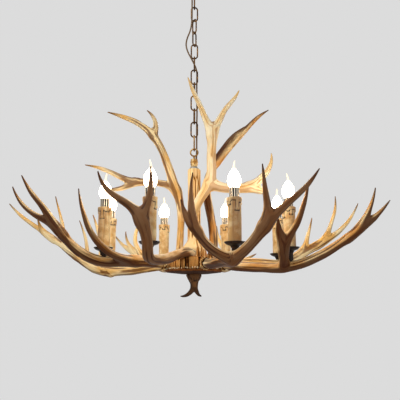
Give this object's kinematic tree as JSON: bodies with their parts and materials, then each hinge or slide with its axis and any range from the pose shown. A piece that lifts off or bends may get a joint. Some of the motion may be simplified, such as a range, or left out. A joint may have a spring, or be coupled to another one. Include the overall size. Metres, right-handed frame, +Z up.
{
  "type": "antler chandelier",
  "caption": "Chain-hung chandelier of interlaced cast antlers round a fluted post, carrying a ring of candle lights with flame-shaped bulbs over drip dishes.",
  "frame": {"origin": "centre of the two ceiling screws, in the plane of the ceiling", "axes": "+Z up into the ceiling, the lamp hangs along -Z; +X to the viewer's right, along the longest extent; +Y away from the viewer"},
  "size_m": [1.0822, 0.6896, 0.9433],
  "materials": {
    "canopy_bronze": "dark antique bronze, satin",
    "chain_bronze": "dark antique bronze with worn edges",
    "plated_steel": "zinc plated",
    "cord_fabric": "gold-brown woven sleeve",
    "collar_brass": "gilt, satin, dark in the grooves",
    "column_resin": "carved cast resin, golden with brown flutes",
    "hub_resin": "cast resin with bark-like ridges",
    "rim_resin": "dark brown cast resin",
    "connector_plastic": "moulded, off-white",
    "antler_resin": "cast resin, tan with brown lengthwise grooves and dark tips",
    "antler_resin_dark": "cast resin, brown with pale edges",
    "dish_metal": "dark brown, satin",
    "candle_wax": "wax-like beige with brown runs",
    "holder_plastic": "moulded, black",
    "bulb_glass": "warm white lit glass over a bright metal cap"
  },
  "bodies": {
    "ceiling_mount": {"canopy": "canopy_bronze", "ceiling_bracket": "plated_steel", "hang_loop": "chain_bronze", "lock_ring": "canopy_bronze", "nipple_nut": "plated_steel", "cord_ceiling": "cord_fabric"},
    "top_link": {"top_link": "chain_bronze", "cord_upper": "cord_fabric"},
    "chain": {"chain_links": "chain_bronze", "cord_long": "cord_fabric", "cord_lower": "cord_fabric"},
    "bottom_link": {"bottom_link": "chain_bronze"},
    "lamp": {"cord_stem": "cord_fabric", "eye_bolt": "chain_bronze", "stem_collar": "collar_brass", "column": "column_resin", "tie_rod": "plated_steel", "hub_drum": "hub_resin", "hub_plate": "rim_resin", "finial": "rim_resin", "wire_connector": "connector_plastic", "rod_nut": "plated_steel", "antler_bolts": "plated_steel", "lamp_holders": "holder_plastic", "antler_right_front": "antler_resin", "antler_right_back": "antler_resin", "antler_front_right": "antler_resin_dark", "antler_front_left": "antler_resin_dark", "antler_left_front": "antler_resin", "antler_left_back": "antler_resin", "antler_back_left": "antler_resin", "antler_back_right": "antler_resin", "antler_upper_left": "antler_resin", "antler_upper_front": "antler_resin", "antler_upper_back": "antler_resin", "drip_dish_1": "dish_metal", "candle_sleeve_1": "candle_wax", "bulb_1": "bulb_glass", "drip_dish_2": "dish_metal", "candle_sleeve_2": "candle_wax", "bulb_2": "bulb_glass", "drip_dish_3": "dish_metal", "candle_sleeve_3": "candle_wax", "bulb_3": "bulb_glass", "drip_dish_4": "dish_metal", "candle_sleeve_4": "candle_wax", "bulb_4": "bulb_glass", "drip_dish_5": "dish_metal", "candle_sleeve_5": "candle_wax", "bulb_5": "bulb_glass", "drip_dish_6": "dish_metal", "candle_sleeve_6": "candle_wax", "bulb_6": "bulb_glass", "drip_dish_7": "dish_metal", "candle_sleeve_7": "candle_wax", "bulb_7": "bulb_glass", "drip_dish_8": "dish_metal", "candle_sleeve_8": "candle_wax", "bulb_8": "bulb_glass"}
  },
  "joints": [
    {"name": "swing_at_ceiling", "type": "hinge", "parent": "ceiling_mount", "child": "top_link", "pos_m": [0, 0, -0.0639], "axis": [1, 0, 0], "range_deg": [-25, 25], "deforming": ["cord_ceiling"]},
    {"name": "swing_at_top_link", "type": "hinge", "parent": "top_link", "child": "chain", "pos_m": [0, 0, -0.10315], "axis": [0, 1, 0], "range_deg": [-25, 25], "deforming": ["cord_upper"]},
    {"name": "swing_at_last_link", "type": "hinge", "parent": "chain", "child": "bottom_link", "pos_m": [0, 0, -0.49815], "axis": [1, 0, 0], "range_deg": [-8, 8], "deforming": ["cord_lower"]},
    {"name": "swing_at_stem_eye", "type": "hinge", "parent": "bottom_link", "child": "lamp", "pos_m": [0, 0, -0.53765], "axis": [0, 1, 0], "range_deg": [-8, 8], "deforming": ["cord_stem"]}
  ]
}
